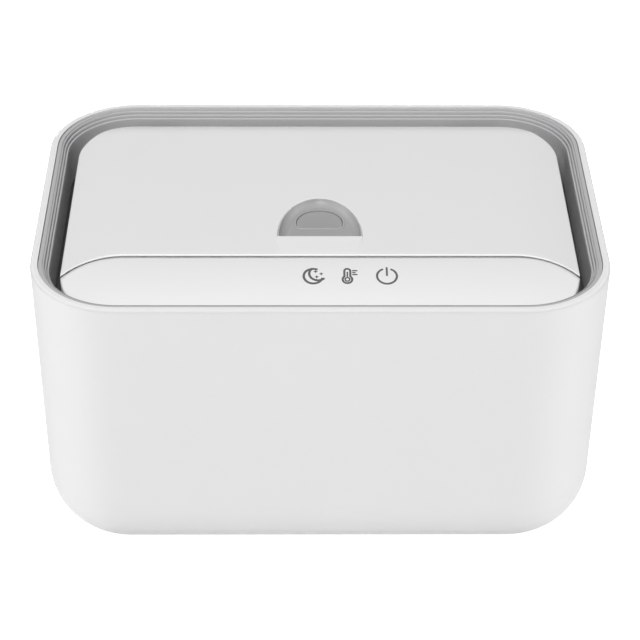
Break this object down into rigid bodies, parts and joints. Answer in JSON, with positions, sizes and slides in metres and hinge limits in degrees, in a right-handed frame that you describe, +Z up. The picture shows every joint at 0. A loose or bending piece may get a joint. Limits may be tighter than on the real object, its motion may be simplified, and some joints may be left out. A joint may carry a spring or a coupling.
{
  "type": "baby wipe warmer",
  "caption": "White baby wipe warmer: rounded rectangular housing, stepped grey rim trim, hinged crowned lid with a finger scoop and push release, sloping touch panel.",
  "frame": {"origin": "on the floor under the middle of the housing", "axes": "+X to the right of someone facing the controls, +Y to the back, where the hinge is, +Z up"},
  "size_m": [0.231, 0.1624, 0.1315],
  "materials": {
    "housing_white": "satin",
    "trim_grey": "satin",
    "panel_white": "satin",
    "lid_white": "satin",
    "inner_white": "matte",
    "scoop_grey": "satin",
    "button_grey": "satin",
    "tank_white": "satin",
    "silicone_grey": "matte",
    "rubber_dark": "matte",
    "heater_aluminium": "satin",
    "tray_plastic": "matte",
    "pad_foam": "matte",
    "film_amber": "satin",
    "sensor_dark": "matte",
    "lead_black": "matte",
    "board_green": "satin",
    "inlet_black": "matte",
    "ribbon_white": "matte",
    "steel_pin": "satin",
    "steel_screw": "satin",
    "acetal_white": "satin"
  },
  "bodies": {
    "base": {"outer_shell": "housing_white", "base_plate": "inner_white", "rubber_feet": "rubber_dark", "base_screws": "steel_screw", "wipe_tank": "tank_white", "heater_tray": "tray_plastic", "insulation_pad": "pad_foam", "heater_film": "film_amber", "heating_plate": "heater_aluminium", "thermal_fuse": "sensor_dark", "thermistor": "sensor_dark", "heater_leads": "lead_black", "main_board": "board_green", "board_screws": "steel_screw", "dc_inlet": "inlet_black", "power_leads": "lead_black", "top_deck": "inner_white", "deck_screws": "steel_screw", "hinge_pins": "steel_pin", "trim_ring": "trim_grey", "control_panel": "panel_white", "panel_screws": "steel_screw", "latch_keeper": "acetal_white", "touch_board": "board_green", "ribbon_cable": "ribbon_white"},
    "lid": {"lid_shell": "lid_white", "lid_liner": "inner_white", "lid_seal": "silicone_grey", "liner_screws": "steel_screw", "grip_scoop": "scoop_grey"},
    "button": {"release_button": "button_grey", "button_spring": "steel_pin"},
    "latch": {"latch_bolt": "acetal_white"}
  },
  "joints": [
    {"name": "lid_hinge", "type": "hinge", "parent": "base", "child": "lid", "pos_m": [0, 0.06, 0.1239], "axis": [-1, 0, 0], "range_deg": [0, 80]},
    {"name": "button_press", "type": "slide", "parent": "lid", "child": "button", "axis": [0, 0, -1], "range_m": [0, 0.002], "stiffness_N_per_m": 200, "deforming": ["button_spring"]},
    {"name": "bolt_slide", "type": "slide", "parent": "lid", "child": "latch", "axis": [0, 1, 0], "range_m": [0, 0.002]}
  ],
  "couplings": [
    {"joint": "bolt_slide", "follows": "button_press", "ratio": 1}
  ]
}
